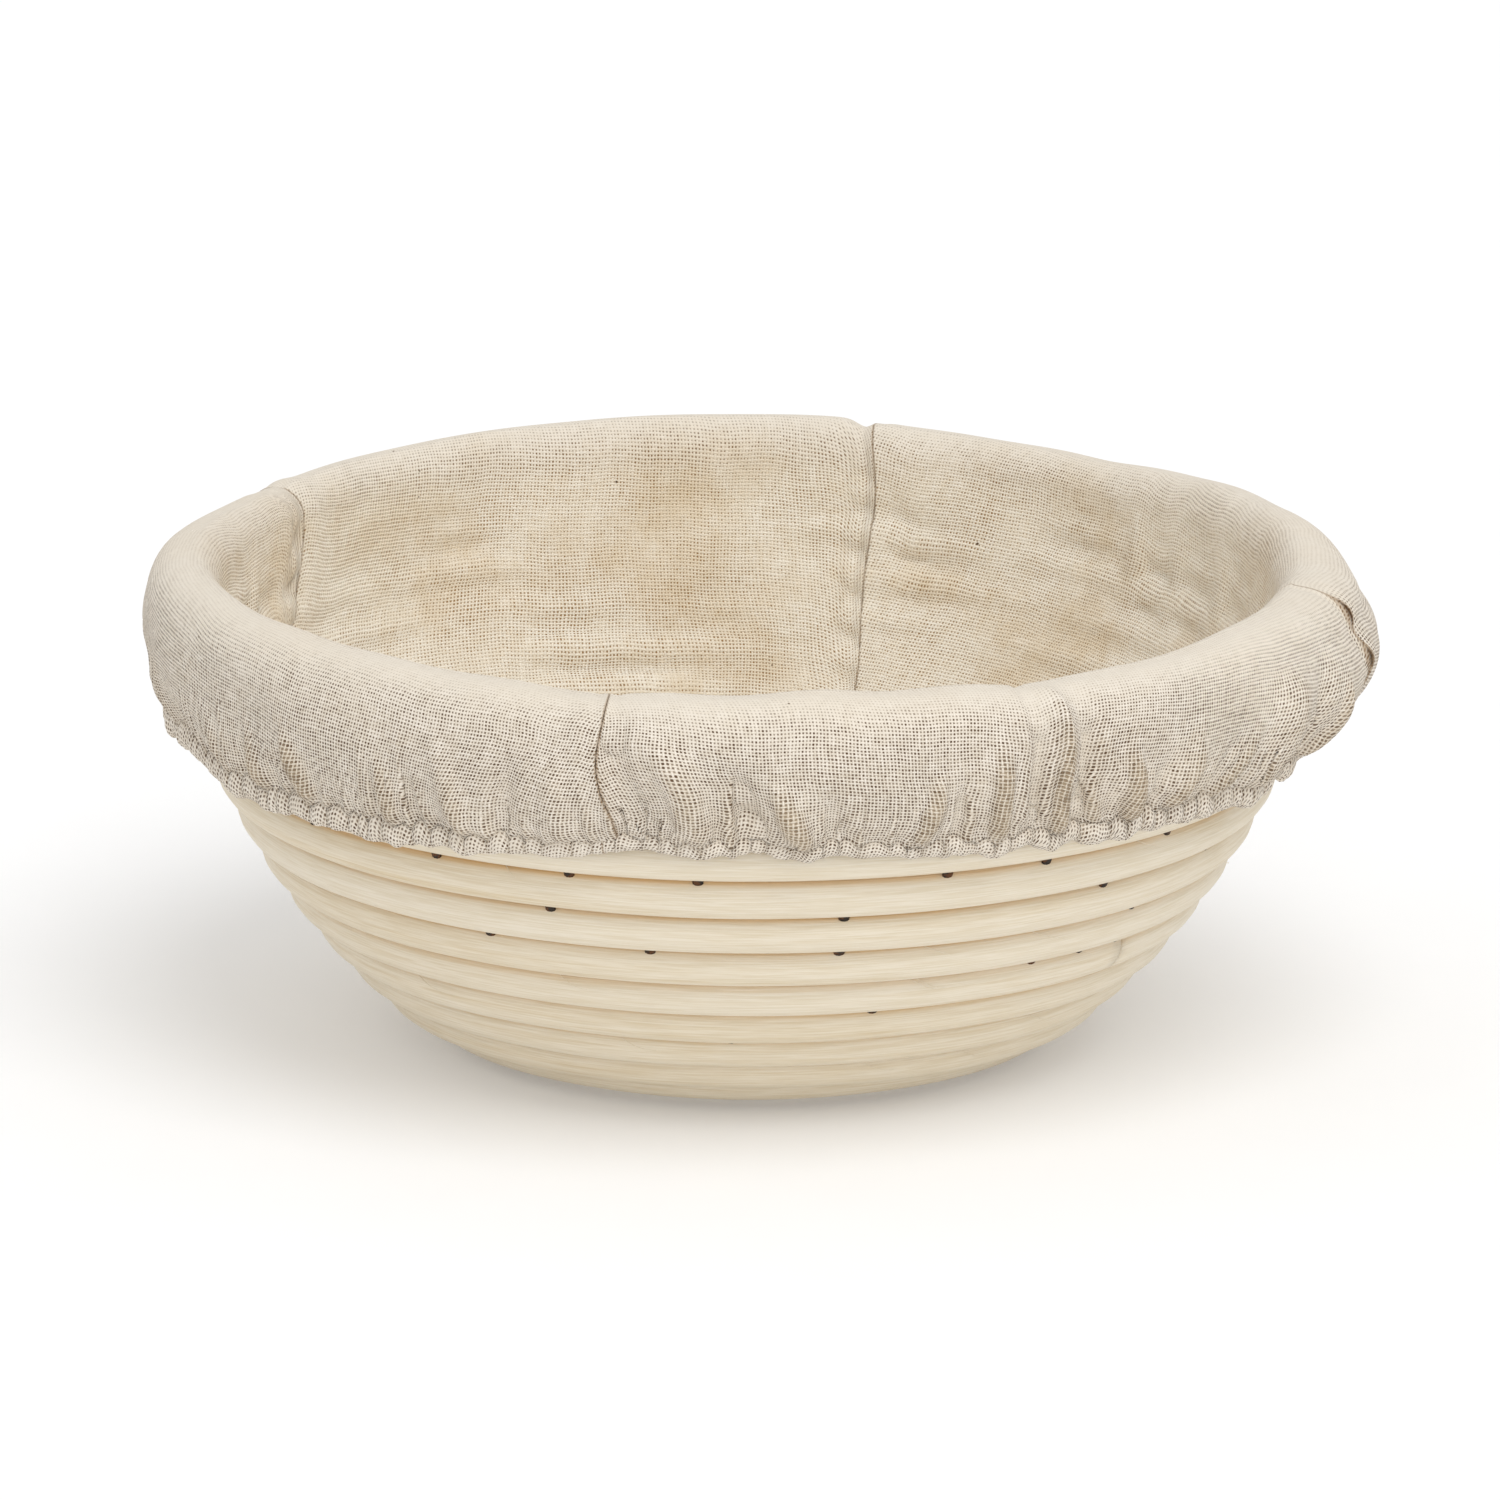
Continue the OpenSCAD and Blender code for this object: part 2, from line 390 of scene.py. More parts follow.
def cloth_material():
    """Unbleached open plain weave: each thread wanders and swells, and pinholes show between. Painted
    shade darkens the weave's low spots, fold valleys, pinholes and seams, and painted bounce light
    makes the inside of the bowl paler and warmer.
    """
    g = Graph("plain_weave")
    straight, down, edge = g.split("weave")
    across = g.plus(straight, g.times(down, WEAVE_SKEW))
    along = g.minus(down, g.times(straight, WEAVE_SKEW))
    inside, openness_and_shade = g.value("inside"), g.value("openness_and_shade")
    drift = g.node("ShaderNodeTexNoise", {"Vector": g.place(), "Scale": 150.0, "Detail": 2.0})
    shift = g.node("ShaderNodeSeparateXYZ", {0: drift.outputs["Color"]}).outputs
    x = g.plus(g.math("DIVIDE", across, THREAD_PITCH), g.times(shift[0], THREAD_DRIFT))
    y = g.plus(g.math("DIVIDE", along, THREAD_PITCH), g.times(shift[1], THREAD_DRIFT))
    tone, height, hole = plain_weave(g, x, y, inside)
    depth = pinholes(g, x, y, hole, inside, openness_and_shade)
    base = yarn_colour(g, tone, inside, openness_and_shade)
    # Painted shade in the low spots between threads: less inside the bowl, more deep in folds
    low = g.times(g.fall(height, 0.40, 0.92), 0.40)
    low = g.times(low, g.minus(1.0, g.times(inside, 0.5)))
    low = g.times(low, g.times(openness_and_shade, 1.7), clamp=True)
    base = g.mix(low, base, colour(186, 162, 126))
    # Painted shade seen through the pinholes: dark brown on the skirt, the ochre cane inside the bowl
    gap = g.mix(inside, colour(80, 52, 24), colour(150, 112, 66))
    base = g.mix(g.times(depth, 0.95), base, gap)
    base = g.mix(flecks(g, across, along), base, colour(96, 74, 50))
    base = seam_lines(g, base, edge)
    # Painted shade in the fold valleys
    base = g.over(base, g.ramp(openness_and_shade, 0.45, 1.0), 0.35, 196, 176, 146)
    rough = g.plus(0.1, g.times(openness_and_shade, 1.2), clamp=True)
    g.bump(g.times(g.minus(height, g.times(depth, 0.4)), rough), 0.0003, 0.85)
    return g.finish(base, 0.92, Sheen_Weight=0.12, Sheen_Roughness=0.5, Specular_IOR_Level=0.2)


def plain_weave(g, x, y, inside):
    """Tone, height and gaps of threads that pass over and under each other. x and y count threads."""
    column, row = g.math("ROUND", x), g.math("ROUND", y)
    warp_tone = g.noise(g.scaled((column, y), (3.7, 0.16)), 1.0)
    weft_tone = g.noise(g.scaled((x, row), (0.16, 3.7)), 1.0)
    warp, weft = thread_profile(g, x, warp_tone), thread_profile(g, y, weft_tone)
    over = g.math("COSINE", g.times(g.plus(y, column), pi))
    under = g.math("COSINE", g.times(g.plus(x, row), pi))
    warp_top = g.times(warp, g.plus(0.70, g.times(over, 0.30)))
    flat_weft = g.plus(0.70, g.times(inside, 0.06))
    weft_top = g.times(weft, g.minus(flat_weft, g.times(under, 0.30)))
    tone = g.plus(g.times(warp_tone, 0.5), g.times(weft_tone, 0.5))
    hole = g.times(g.minus(1.0, warp), g.minus(1.0, weft))
    return tone, g.math("MAXIMUM", warp_top, weft_top), hole


def pinholes(g, x, y, hole, inside, openness_and_shade):
    """How deep each point lies in a pinhole: some cells of the weave are more open than others."""
    patchy = g.plus(1.1, inside)
    spread = g.times(g.minus(g.noise(g.place(), 75.0, 2.0), 0.5), patchy)
    spread = g.minus(g.plus(spread, openness_and_shade), g.times(inside, 0.62))
    cell = g.vector(g.math("FLOOR", x), g.math("FLOOR", y))
    made = g.node("ShaderNodeTexWhiteNoise", {"Vector": cell}, noise_dimensions="3D")
    chance = made.outputs["Value"]
    spread = g.plus(spread, g.times(g.minus(chance, 0.5), 0.5))
    threshold = g.minus(0.615, g.times(spread, 0.46))
    depth = g.ramp(g.minus(hole, threshold), -0.09, 0.15)
    depth = g.times(depth, g.plus(0.6, g.times(chance, 0.4)))
    return g.times(depth, g.ramp(openness_and_shade, 0.02, 0.30))


def yarn_colour(g, tone, inside, openness_and_shade):
    """The yarn's colour: paler and warmer inside the bowl as painted bounce light, and golden
    mottling that is much stronger inside.
    """
    # Painted bounce light: the same yarn is paler and warmer inside the bowl than on the skirt
    pale = g.mix(inside, colour(239, 231, 219), colour(246, 239, 225))
    deep = g.mix(inside, colour(223, 213, 198), colour(240, 230, 211))
    base = g.mix(g.ramp(tone, 0.28, 0.72), deep, pale)
    base = g.over(base, g.fall(openness_and_shade, 0.05, 0.45), 0.75, 222, 213, 198)
    clouds = g.ramp(g.noise(g.place(), 34.0, 4.0, 0.6), 0.44, 0.70)
    clouds = g.times(clouds, g.plus(0.06, g.times(inside, 0.40)))
    return g.mix(clouds, base, colour(212, 186, 144))


def seam_lines(g, base, edge):
    """Painted shade: a brown line in the crease where two gores turn in, and darkness where the seam
    gapes. edge is in metres.
    """
    base = g.over(base, g.fall(edge, 0.00005, 0.00028), 0.5, 150, 118, 80)
    return g.over(base, g.fall(edge, -0.0006, -0.0002), 0.9, 88, 62, 36)


def thread_profile(g, x, swell):
    """1 along a thread's middle, 0 in the gap beside it."""
    wave = g.times(g.math("COSINE", g.times(x, FULL)), 0.5)
    return g.plus(g.plus(wave, 0.5), g.times(g.minus(swell, 0.5), 0.5), clamp=True)


def flecks(g, across, along):
    """Sparse dark bits of husk in the yarn."""
    at = g.scaled((across, along), (1500, 1500))
    cell = g.node("ShaderNodeTexVoronoi", {"Vector": at, "Scale": 0.14, "Randomness": 1.0})
    parts = g.node("ShaderNodeSeparateColor", {0: cell.outputs["Color"]}).outputs
    past_edge = g.minus(cell.outputs["Distance"], g.times(parts[1], 0.075))
    return g.times(g.fall(past_edge, -0.02, 0.02), g.ramp(parts[0], 0.80, 0.84))


def thread_material():
    """Twisted cotton thread."""
    g = Graph("cotton_thread")
    twist = g.noise(g.place(), 2600.0, 2.0)
    base = g.mix(twist, colour(200, 186, 160), colour(246, 240, 226))
    g.bump(twist, 0.0001, 0.6)
    return g.finish(base, 0.85, Sheen_Weight=0.2)


def elastic_material():
    """Covered elastic: fine ribs round the cord."""
    g = Graph("covered_elastic")
    wave = g.node("ShaderNodeTexWave", {"Vector": g.place(), "Scale": 900.0, "Distortion": 2.0})
    ribs = wave.outputs["Fac"]
    base = g.mix(ribs, colour(214, 210, 198), colour(240, 238, 230))
    g.bump(ribs, 0.0001, 0.5)
    return g.finish(base, 0.8)


def floor_material():
    """Matt and pale, with a little light of its own so that it stays near white."""
    g = Graph("pale_floor")
    base = g.mix(g.noise(g.place(), 30.0, 4.0), (0.78, 0.78, 0.78, 1), (0.80, 0.80, 0.80, 1))
    return g.finish(base, 0.9, Specular_IOR_Level=0.1, Emission_Color=(1, 1, 1, 1),
                    Emission_Strength=0.18)


# ---- cane
STEPS_PER_TURN = 168
CANE_SIDES = 20
# The liner lies on TOUCHING_R, a little over half the pitch. The cane has a little more, so that no
# light passes between the flats of two turns
TOUCHING_R = PITCH / 2 + 0.08
FULL_R = TOUCHING_R + 0.06
SLANT_REACH = 9.0


def cane_length(name, t0, t1, seed, tone, start_slant, end_slant):
    """A length of cane from turn number t0 to t1. A slant is the lean of a cut end, mm per mm."""
    t = np.linspace(t0, t1, max(12, int((t1 - t0) * STEPS_PER_TURN)))
    turn, share = np.floor(t), t - np.floor(t)
    risen = np.where(turn < LAST_TURN, climb(share), RIM_RISE * climb(share))
    r, z = at_turn(turn + risen)
    thin = np.where(turn < LAST_TURN, 0, climb(share))
    angle = pi + FULL * share
    s = np.concatenate([[0], np.cumsum(FULL * r[1:] * np.diff(t))])
    fade = smooth_step(r, 20, 60)
    r = r + 0.04 * wobble(s, seed, (50, 180)) * fade
    z = z + 0.03 * wobble(s, seed + 1, (50, 180)) * fade
    radius = FULL_R * (1 + 0.004 * wobble(s, seed + 2, (30, 120)))
    b = FULL * (np.arange(CANE_SIDES) + 0.5) / CANE_SIDES
    out = (radius * (1 - 0.4 * thin))[:, None] * np.cos(b)
    up = (radius * (1 - 2 * (1 - RIM_RISE) * thin))[:, None] * np.sin(b)
    lean = start_slant * np.clip(1 - s / SLANT_REACH, 0, 1)
    lean = lean + end_slant * np.clip(1 - (s[-1] - s) / SLANT_REACH, 0, 1)
    around = angle[:, None] + lean[:, None] * up / r[:, None]
    points = in_space(r[:, None] + out, around, np.maximum(z[:, None] + up, 0.02))
    faces = tube_faces(len(t), CANE_SIDES)
    piece = make_piece(name, points.reshape(-1, 3), faces, CANE, "basket", "cane")
    grain = np.stack([np.broadcast_to(s[:, None] + 977.0 * seed, out.shape), out, up], -1)
    add_values(piece, "grain", grain.reshape(-1, 3))
    # groove is 1 where the cane faces the next turn and takes the painted shade of the groove; the
    # upward face of the last turn, with no turn above it, takes none
    wall = np.radians([slope(int(k)) for k in turn])
    toward = np.cos(b)[None] * np.cos(wall)[:, None] + np.sin(b)[None] * np.sin(wall)[:, None]
    bare = (t[:, None] > RIM_END - 1) & (toward > 0)
    add_values(piece, "groove", (smooth_step(np.abs(toward), 0.80, 1.0) * ~bare).ravel())
    uneven = tone + 0.16 * wobble(s, seed + 3, (120, 400))
    add_values(piece, "tone", np.broadcast_to(uneven[:, None], out.shape).ravel())
    return piece


def make_canes():
    """The five lengths of cane, from the eye of the floor to the rim."""
    splices = (0.0, 5.6, 10.4, 13.7, 15.85, RIM_END)
    names = ("floor_cane", "wall_cane_lower", "wall_cane_middle", "wall_cane_upper", "rim_cane")
    # A higher tone is darker and warmer: the high tones of the two lowest lengths are painted shade,
    # darker towards the foot
    tones = (0.45, 0.12, 0.0, -0.1, 0.0)
    slants = (0.0, 0.5, 0.35, -0.4, 0.4, 0.0)
    for i, node in enumerate(names):
        start = splices[i] + (SPLICE_GAP if i else 0)
        end = splices[i + 1] - SPLICE_GAP
        ends = slants[i:i + 2]
        piece = cane_length("round_" + node, start, end, 11 + 5 * i, tones[i], *ends)
        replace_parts(piece, node)


WHISKERS = 26


def make_whiskers():
    """Loose fibres that stand out of the grooves between the turns."""
    rng = np.random.default_rng(5)
    tubes = Tubes(5)
    for _ in range(WHISKERS):
        k = rng.integers(FLOOR_TURNS + 1, LAST_TURN - 3)
        angle = rng.uniform(0, FULL)
        r, z = at_turn(k + 0.5 + climb(share_of_turn(angle)))
        a = radians(slope(k))
        outward = np.array([sin(a), -cos(a)])
        base = np.array([r, z]) + outward * 1.6
        length = rng.uniform(4, 11)
        curl = rng.uniform(-0.5, 0.5)
        path = []
        for q in np.linspace(0, 1, 9):
            out = base + outward * (2.4 * sin(q * 2.2)) + np.array([0, -1.2 * q * q])
            turned = angle + (q * length + curl * 3 * q * q) / r
            path.append(in_space(out[0], turned, out[1]))
        tubes.add(path, 0.09 * np.linspace(1, 0.35, 9))
    piece = tubes.piece("cane_whiskers", CANE, "basket", "cane")
    count = len(tubes.points)
    add_values(piece, "grain", tubes.points)
    add_values(piece, "tone", np.full(count, 0.1))
    add_values(piece, "groove", np.zeros(count))


# ---- brads
BRAD_R = 0.5
# How far the head stands back from the CAD's, and how much wider than thick it is along the groove
BRAD_SUNK = 3.0
BRAD_WIDE = 2.1


def loose_parts(node):
    """Points in mm of each separate solid of a CAD node, with its split corners welded."""
    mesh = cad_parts[node].data
    every = np.array([v.co for v in mesh.vertices]) / MM
    points, welded = np.unique(np.round(every, 3), axis=0, return_inverse=True)
    welded = welded.ravel()
    edges = welded[np.array([e.vertices for e in mesh.edges])]
    group = np.arange(len(points))
    while True:
        low = np.minimum(group[edges[:, 0]], group[edges[:, 1]])
        new = group.copy()
        np.minimum.at(new, edges[:, 0], low)
        np.minimum.at(new, edges[:, 1], low)
        new = new[new]
        if np.array_equal(new, group):
            break
        group = new
    return [points[group == g] for g in np.unique(group)]


def make_brads(node):
    """Wire brads with domed ends, in the grooves between turns, on the axes of the CAD's."""
    tubes = Tubes(10)
    share = np.array([0, 0.5, 0.8, 0.93, 0.965, 0.99, 1.0])
    swell = np.array([0.2, 1, 1, 1, 0.92, 0.65, 0.15])
    for solid in loose_parts(node):
        centre = solid.mean(axis=0)
        axis = np.linalg.svd(solid - centre, full_matrices=False)[2][0]
        outward = np.array([centre[0], centre[1], 0.0])
        outward = outward / max(np.linalg.norm(outward), 1e-6) - np.array([0, 0, 1.0])
        axis = axis * np.sign(axis @ outward)
        along = (solid - centre) @ axis
        head = centre + axis * (along.max() - BRAD_SUNK)
        tail = centre + axis * along.min()
        first = len(tubes.points)
        tubes.add(tail + (head - tail) * share[:, None], BRAD_R * swell)
        groove = np.array([-centre[1], centre[0], 0]) / hypot(centre[0], centre[1])
        ring = np.array(tubes.points[first:])
        aside = (ring - centre) @ groove
        tubes.points[first:] = ring + np.outer(aside * (BRAD_WIDE - 1), groove)
    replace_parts(tubes.piece("wire_" + node, BRAD, "basket", "brad"), node)


# ---- underside slats
def slat_piece(node, turn_deg, start, end):
    """A slat with its arrises rounded, along its own direction in the plane of the table."""
    width, thick, arris, rings = 11.0, 1.9, 0.45, 60
    profile = []
    for cx, cz, first in ((1, 1, 0), (-1, 1, 90), (-1, -1, 180), (1, -1, 270)):
        for q in np.radians(first + np.array([0, 30, 60, 90])):
            profile.append((cx * (width / 2 - arris) + arris * cos(q),
                            cz * (thick / 2 - arris) + arris * sin(q)))
    across, up = np.array(profile).T
    x = np.linspace(start, end, rings)[:, None]
    wide = across * (1 + 0.006 * wobble(x, 40, (12, 50)))
    c, s = cos(radians(turn_deg)), sin(radians(turn_deg))
    points = np.stack([x * c - wide * s, x * s + wide * c, 0 * wide + thick / 2 + up], -1)
    faces = tube_faces(rings, len(profile))
    piece = make_piece("sawn_" + node, points.reshape(-1, 3), faces, SLAT, "basket", "slat")
    grain = np.stack([x + 300 * turn_deg + 0 * wide, across + 0 * wide, up + 0 * wide], -1)
    add_values(piece, "grain", grain.reshape(-1, 3))
    piece.data.set_sharp_from_angle(angle=radians(50))
    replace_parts(piece, node)


def make_slats():
    """One slat right across the floor, and two halves that cross it."""
    slat_piece("slat_long", 45, -42, 42)
    slat_piece("slat_left", 135, 5.9, 42)
    slat_piece("slat_right", -45, 5.9, 42)


# ---- the liner's cloth
SEAMS = {"right": -12, "back": 76, "left": 148, "front": 256}
GORES = (("gore_right_back", -12, 76), ("gore_left_back", 76, 148),
         ("gore_left_front", 148, 256), ("gore_right_front", 256, 348))
HEM_R = 106
SKIRT_R = 108
CLOTH_T = 0.45
CLEAR = TOUCHING_R + CLOTH_T + 0.15
RIM_R, RIM_Z = TURNS[LAST_TURN]
CREST_Z = 91.6
SHOULDER_R = 110.7
WALL_ROWS = 70
RIM_ROWS = 24
SKIRT_ROWS = 34
CASING_ROWS = 12
CASING_WIDE = 2.4
# Flat cloth turned up round the elastic
COLUMNS_PER_DEG = 6
FINE_SKIRT_ROWS = 22
# Width of the hem's ruffles and of the gathers above them
LOBE = 4.1
MIDDLE_GATHER = 8.8
LARGE_GATHER = 19

# How the liner lies round the basket, read as: angle, lift of the crest, radius of the skirt at its
# widest, radius of the hem's stitching, its height, and the height of the casing below it
HANG = ((-12, 0.2, 118, 108, 64.8, 3.9), (0, 0.3, 117.4, 108.2, 64.6, 3.9),
        (12, 1.1, 115.2, 107.4, 64.2, 4), (30, 0.7, 113, 106.4, 64, 4),
        (48, -1.4, 111.4, 106, 64.6, 3.6), (62, -0.9, 110.8, 105.9, 65, 3.2),
        (73, 0, 110.6, 105.9, 65.2, 2.8), (79, 1.2, 110.6, 105.9, 65.2, 2.8),
        (90, 1.2, 110.6, 105.9, 65, 3), (105, 1, 110.6, 105.9, 64.8, 3.4),
        (125, 0.2, 110.8, 106.1, 64.4, 3.8), (139, -0.6, 110.8, 106.4, 64.2, 4),
        (148, -1.2, 110.9, 106.8, 64, 4), (155, -2, 111.4, 107.2, 63.8, 4.2),
        (166, -0.7, 112.2, 107.8, 64, 4.3), (180, 0.5, 112.6, 108.2, 64.6, 4.4),
        (193, 0.9, 111.8, 107.4, 64.2, 4.4), (206, 0.9, 111, 106.4, 63.4, 4.4),
        (220, 0.6, 110.9, 106.4, 62.4, 4.4), (233, 0.2, 110.7, 106, 61.9, 4.2),
        (246, -0.1, 110.7, 105.9, 63.2, 3.2), (256, -1.2, 110.6, 105.9, 64.3, 2.6),
        (263, -0.5, 110.6, 105.9, 64.6, 2.4), (272, 0.1, 110.5, 105.9, 64.4, 2.4),
        (285, 0, 110.5, 105.9, 63.8, 2.5), (298, -0.9, 110.5, 105.9, 63, 3),
        (308, -1.1, 110.6, 105.9, 63.1, 3.9), (319, -0.8, 111.2, 106, 63.2, 4.3),
        (330, 0, 113.2, 106.2, 63.5, 4.3), (340, 0.1, 116.8, 106.6, 64.4, 4.1))
# Folds across the skirt: angle, height, half width, lean in mm per mm down, and the share of the way
# down where it starts
FOLDS = ((259, 1.4, 2.6, 0.28, -0.3), (264, -2.2, 2.8, 0.40, -0.1), (269.5, 2, 2.6, 0.34, 0.1),
         (273.8, -2.6, 1.9, 0.42, 0.25), (278, 1.2, 2.4, 0.2, 0.3), (288, -2, 1.6, -0.25, 0.25),
         (291, 1.2, 1.8, -0.15, 0.25), (295, -1.9, 1.6, 0, 0), (299, 2, 1.5, 0.05, -0.9),
         (301.6, -1.5, 1.2, 0.05, -0.6), (304.2, 2, 1.5, 0.05, -0.5), (310, -2.1, 1.8, 0.15, 0.15),
         (314.5, 1.4, 2, -0.3, 0.3), (318, -1.5, 1.6, -0.45, 0.3), (323, 1.2, 1.8, -0.5, 0.3),
         (326, -1.5, 1.6, -0.55, 0.3), (331, -2.6, 4.6, -0.15, -0.1), (336.5, 1.6, 2.6, -0.2, -0.1),
         (340.5, -1.8, 1.2, -0.2, 0.15),
         (251.5, -1, 2.4, -0.1, 0.1), (246.5, 1.4, 2.4, -0.2, 0.1), (241, -0.8, 1.5, 0.1, 0.2),
         (235.4, 1.2, 2, 0.1, 0.2), (232.6, -1.5, 1.5, 0.1, 0.3), (221, -1.9, 1.5, 0.2, 0.25),
         (214, -1.2, 1.8, 0.3, 0.3), (206, -1.2, 2, 0.3, 0.4), (20, 1.5, 3.6, 0.2, 0.1),
         (32, -1.8, 2, 0.2, 0.2), (45, -1.8, 2, -0.2, 0.3), (64, 1.8, 2.6, 0.25, 0.1),
         (84, 2, 2.4, -0.25, -0.2), (101, -2, 1.8, 0.3, 0.2), (119, 1.6, 2.4, -0.2, 0.2),
         (134, -1.8, 1.8, 0.25, 0.2), (155, 1.8, 2.6, 0.2, -0.1), (170, -1.6, 2, 0.2, 0.3))
# Places where the cloth stands off the wall or sinks, inside the bowl: angle, run from the middle,
# half width in degrees, half length, height
SWELLS = ((161, 126, 8, 22, 2.4), (160.2, 132, 2.2, 6.5, -2.4), (142, 120, 6, 26, 0.8),
          (27, 131, 18, 14, 2.1), (41, 133, 1.6, 10, -2), (33.6, 133, 1.6, 10, -2.1),
          (23.6, 132, 2.1, 11, -2.2), (12, 132, 2.2, 10, -2.1), (74.8, 137, 1.4, 4, 1),
          (73.5, 133, 1.5, 4, 1.2), (72.2, 129, 1.7, 4.5, 1.1), (70.6, 125, 2, 5, 0.8),
          (110, 104, 14, 16, 1.3), (128, 126, 12, 12, 1), (40, 112, 12, 14, 1.2),
          (95, 136, 9, 10, 0.6), (52, 100, 8, 16, 1))


def column_angles():
    """Angles of the cloth's columns, in radians, closer together beside the seams."""
    angles = []
    for _, start, end in GORES:
        u = np.arange((end - start) * COLUMNS_PER_DEG) / ((end - start) * COLUMNS_PER_DEG)
        angles.append(np.radians(start + (end - start) * (u - 0.4 * np.sin(FULL * u) / FULL)))
    return np.concatenate(angles)


ANGLES = column_angles()
COLUMN_COUNT = len(ANGLES)


def hang(column):
    """One column of HANG, smooth round the basket."""
    known = np.radians([row[0] for row in HANG])
    fine = np.radians(np.arange(0, 360, 1.0))
    table = np.interp(fine, known, [row[column] for row in HANG], period=FULL)
    return np.interp(ANGLES, fine, blurred(table, 10), period=FULL)


def ring_noise(seed, low, high):
    """Smooth noise round the basket, of low to high waves a turn."""
    return waves(ANGLES, 0, seed, (low, high), (0, 0))


def beside(centre, half_width):
    """A smooth bump of height 1 at an angle round the basket. Both are in degrees."""
    return bump_at(turn_gap(ANGLES, centre), 0, radians(half_width))


def spacing(sheet):
    """Distance of each point to the next round the basket, and to the one below it."""
    around = np.linalg.norm(np.roll(sheet, -1, axis=1) - sheet, axis=2)
    return around, np.linalg.norm(np.diff(sheet, axis=0), axis=2)


def wall_line():
    """The liner's line over the floor and up the inside of the wall, in radius and height."""
    floor = [(r, FLOOR_Z + CLEAR) for r in np.linspace(3, 40, 14)]
    knots = [(44, FLOOR_Z + CLEAR + 0.2), (52.5, FLOOR_Z + CLEAR + 1.4)]
    for k in range(FLOOR_TURNS + 2, LAST_TURN):
        a = radians((slope(k - 1) + slope(k)) / 2)
        knots.append(TURNS[k] + (CLEAR + 0.6) * np.array([-sin(a), cos(a)]))
    knots += [(98.6, 81.6), (99.0, 84.6)]
    knots = np.array(knots)
    run = run_along(knots)
    q = np.linspace(0, run[-1], WALL_ROWS)
    wall = np.stack([np.interp(q, run, knots[:, 0]), np.interp(q, run, knots[:, 1])], -1)
    return np.concatenate([floor, eased(wall, 20)])


def base_sheet():
    """The liner without gathers: radius and height of each row at each column, to the stitching."""
    line = wall_line()
    r = np.repeat(line[:, :1], COLUMN_COUNT, 1)
    z = np.repeat(line[:, 1:], COLUMN_COUNT, 1)
    lift, widest, hem_r, hem_z = (hang(i) for i in (1, 2, 3, 4))
    shoulder = SHOULDER_R + 0.5 * (widest - 110.5)
    tall = CREST_Z + lift - RIM_Z
    arc = np.radians(np.linspace(172, 4, RIM_ROWS))[:, None]
    side = np.where(np.cos(arc) > 0, shoulder - RIM_R, SHOULDER_R - RIM_R)
    rim_r, rim_z = RIM_R + side * np.cos(arc), RIM_Z + tall * np.sin(arc)
    q = np.linspace(0, 1, SKIRT_ROWS)[:, None]
    at = 0.4
    pull = (widest - (1 - at) ** 2 * shoulder - at * at * hem_r) / (2 * at * (1 - at))
    skirt_r = (1 - q) ** 2 * shoulder + 2 * q * (1 - q) * pull + q * q * hem_r
    skirt_z = RIM_Z + (hem_z - RIM_Z) * q
    return np.concatenate([r, rim_r, skirt_r]), np.concatenate([z, rim_z, skirt_z]), len(line)


BASE_R, BASE_Z, RIM_ROW = base_sheet()
SKIRT_ROW = RIM_ROW + RIM_ROWS
STITCH_ROW = len(BASE_R) - 1


def runs():
    """Distance of each row from the middle of the floor, along the liner's line."""
    step = np.hypot(np.diff(BASE_R, axis=0), np.diff(BASE_Z, axis=0)).mean(axis=1)
    return np.concatenate([[0], np.cumsum(step)]) + BASE_R[0, 0]


RUN = runs()
RIM_RUN, SKIRT_RUN, HEM_RUN = RUN[[RIM_ROW, SKIRT_ROW, STITCH_ROW]]
CREST_RUN = (RIM_RUN + SKIRT_RUN) / 2


def face_directions(sheet):
    """Unit vectors off the cloth's face: into the bowl, up at the rim, outward below."""
    down = np.gradient(sheet, axis=0)
    around = np.roll(sheet, -1, axis=1) - np.roll(sheet, 1, axis=1)
    normal = np.cross(around, down)
    return normal / np.maximum(np.linalg.norm(normal, axis=2, keepdims=True), 1e-9)


def clear_of_cane(sheet, room=CLEAR):
    """Moves points of the cloth out of the turns of cane."""
    r = np.hypot(sheet[..., 0], sheet[..., 1])
    new_r, new_z = r, sheet[..., 2]
    risen = climb(share_of_turn(ANGLES))
    for k in range(LAST_TURN + 1):
        cr, cz = at_turn(k + (risen if k < LAST_TURN else 0 * risen))
        dr, dz = new_r - cr, new_z - cz
        gap = np.maximum(np.hypot(dr, dz), 0.5)
        push = np.where(gap < room, room / gap, 1.0)
        new_r, new_z = cr + dr * push, cz + dz * push
    scale = new_r / np.maximum(r, 1e-6)
    return np.stack([sheet[..., 0] * scale, sheet[..., 1] * scale, new_z], -1)


def lobes(power=0.8):
    """The ruffles of the hem, from 0 in a crease to 1 on a lobe."""
    x = ANGLES * HEM_R + 0.8 * ring_noise(4, 20, 60)
    return np.abs(np.sin(pi * x / LOBE)) ** power


